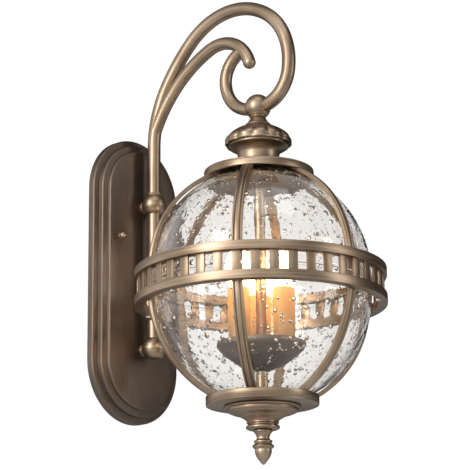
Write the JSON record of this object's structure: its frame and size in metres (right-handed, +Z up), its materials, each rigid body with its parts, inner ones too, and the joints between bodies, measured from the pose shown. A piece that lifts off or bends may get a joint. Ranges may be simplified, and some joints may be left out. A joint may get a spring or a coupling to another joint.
{
  "type": "outdoor wall lantern",
  "caption": "Outdoor wall lantern: seeded glass globe in a ribbed cage with a pierced band, hung from a scrolled arm on a stepped oval backplate.",
  "frame": {"origin": "centre of the wall strap's screw slots, on the wall", "axes": "+Z up, -Y out from the wall, X along the wall"},
  "size_m": [0.305, 0.3772, 0.5946],
  "materials": {
    "bronze": "brushed antique bronze paint, satin",
    "plate_bronze": "dark antique bronze paint, satin",
    "zinc": "zinc plated",
    "earth_green": "green screw",
    "rubber": "closed-cell foam",
    "seeded_glass": "clear with seeds",
    "candle_ivory": "ivory",
    "porcelain": "glazed",
    "brass": "nickelled brass screw cap",
    "bulb_glass": "clear bulb"
  },
  "bodies": {
    "lantern": {"strap": "zinc", "mounting_studs": "zinc", "cap_nuts": "bronze", "earth_screw": "earth_green", "gasket": "rubber", "backplate": "plate_bronze", "upper_stub": "bronze", "lower_stub": "bronze", "fixing_bolts": "zinc", "post": "bronze", "upper_barrel": "bronze", "lower_ball": "bronze", "arm": "bronze", "scroll": "bronze", "curl": "bronze", "hub_ball": "bronze", "hanger_tube": "zinc", "bell_collar": "bronze", "scalloped_cap": "bronze", "waist": "bronze", "top_cap": "bronze", "heat_plate": "plate_bronze", "upper_rail": "bronze", "slat_ring": "bronze", "upper_glass": "seeded_glass", "upper_rib_1": "bronze", "upper_rib_2": "bronze", "upper_rib_3": "bronze", "upper_rib_4": "bronze", "upper_rib_5": "bronze", "upper_rib_6": "bronze", "dish": "plate_bronze", "dish_cover": "plate_bronze", "candle_sleeve_1": "candle_ivory", "lampholder_1": "porcelain", "candle_sleeve_2": "candle_ivory", "lampholder_2": "porcelain", "candle_sleeve_3": "candle_ivory", "lampholder_3": "porcelain", "centre_tube": "bronze", "spacer": "bronze", "tie_rod": "zinc"},
    "lower_cage": {"lower_rail": "bronze", "rail_screws": "zinc", "lower_glass": "seeded_glass", "lower_rib_1": "bronze", "lower_rib_2": "bronze", "lower_rib_3": "bronze", "lower_rib_4": "bronze", "lower_rib_5": "bronze", "lower_rib_6": "bronze", "bottom_cap": "bronze", "moulding": "bronze"},
    "finial": {"finial": "bronze"},
    "lamp_1": {"bulb_cap_1": "brass", "bulb_1": "bulb_glass"},
    "lamp_2": {"bulb_cap_2": "brass", "bulb_2": "bulb_glass"},
    "lamp_3": {"bulb_cap_3": "brass", "bulb_3": "bulb_glass"}
  },
  "joints": [
    {"name": "lower_cage_drop", "type": "slide", "parent": "lantern", "child": "lower_cage", "axis": [0, 0, -1], "range_m": [0, 0.18]},
    {"name": "finial_turn", "type": "hinge", "parent": "lower_cage", "child": "finial", "pos_m": [0, -0.2247, -0.288], "axis": [0, 0, 1], "continuous": true},
    {"name": "lamp_1_turn", "type": "hinge", "parent": "lantern", "child": "lamp_1", "pos_m": [0.00697, -0.2549, -0.1], "axis": [0, 0, 1], "continuous": true},
    {"name": "lamp_2_turn", "type": "hinge", "parent": "lantern", "child": "lamp_2", "pos_m": [0.02267, -0.20356, -0.1], "axis": [0, 0, 1], "continuous": true},
    {"name": "lamp_3_turn", "type": "hinge", "parent": "lantern", "child": "lamp_3", "pos_m": [-0.02965, -0.21564, -0.1], "axis": [0, 0, 1], "continuous": true}
  ]
}
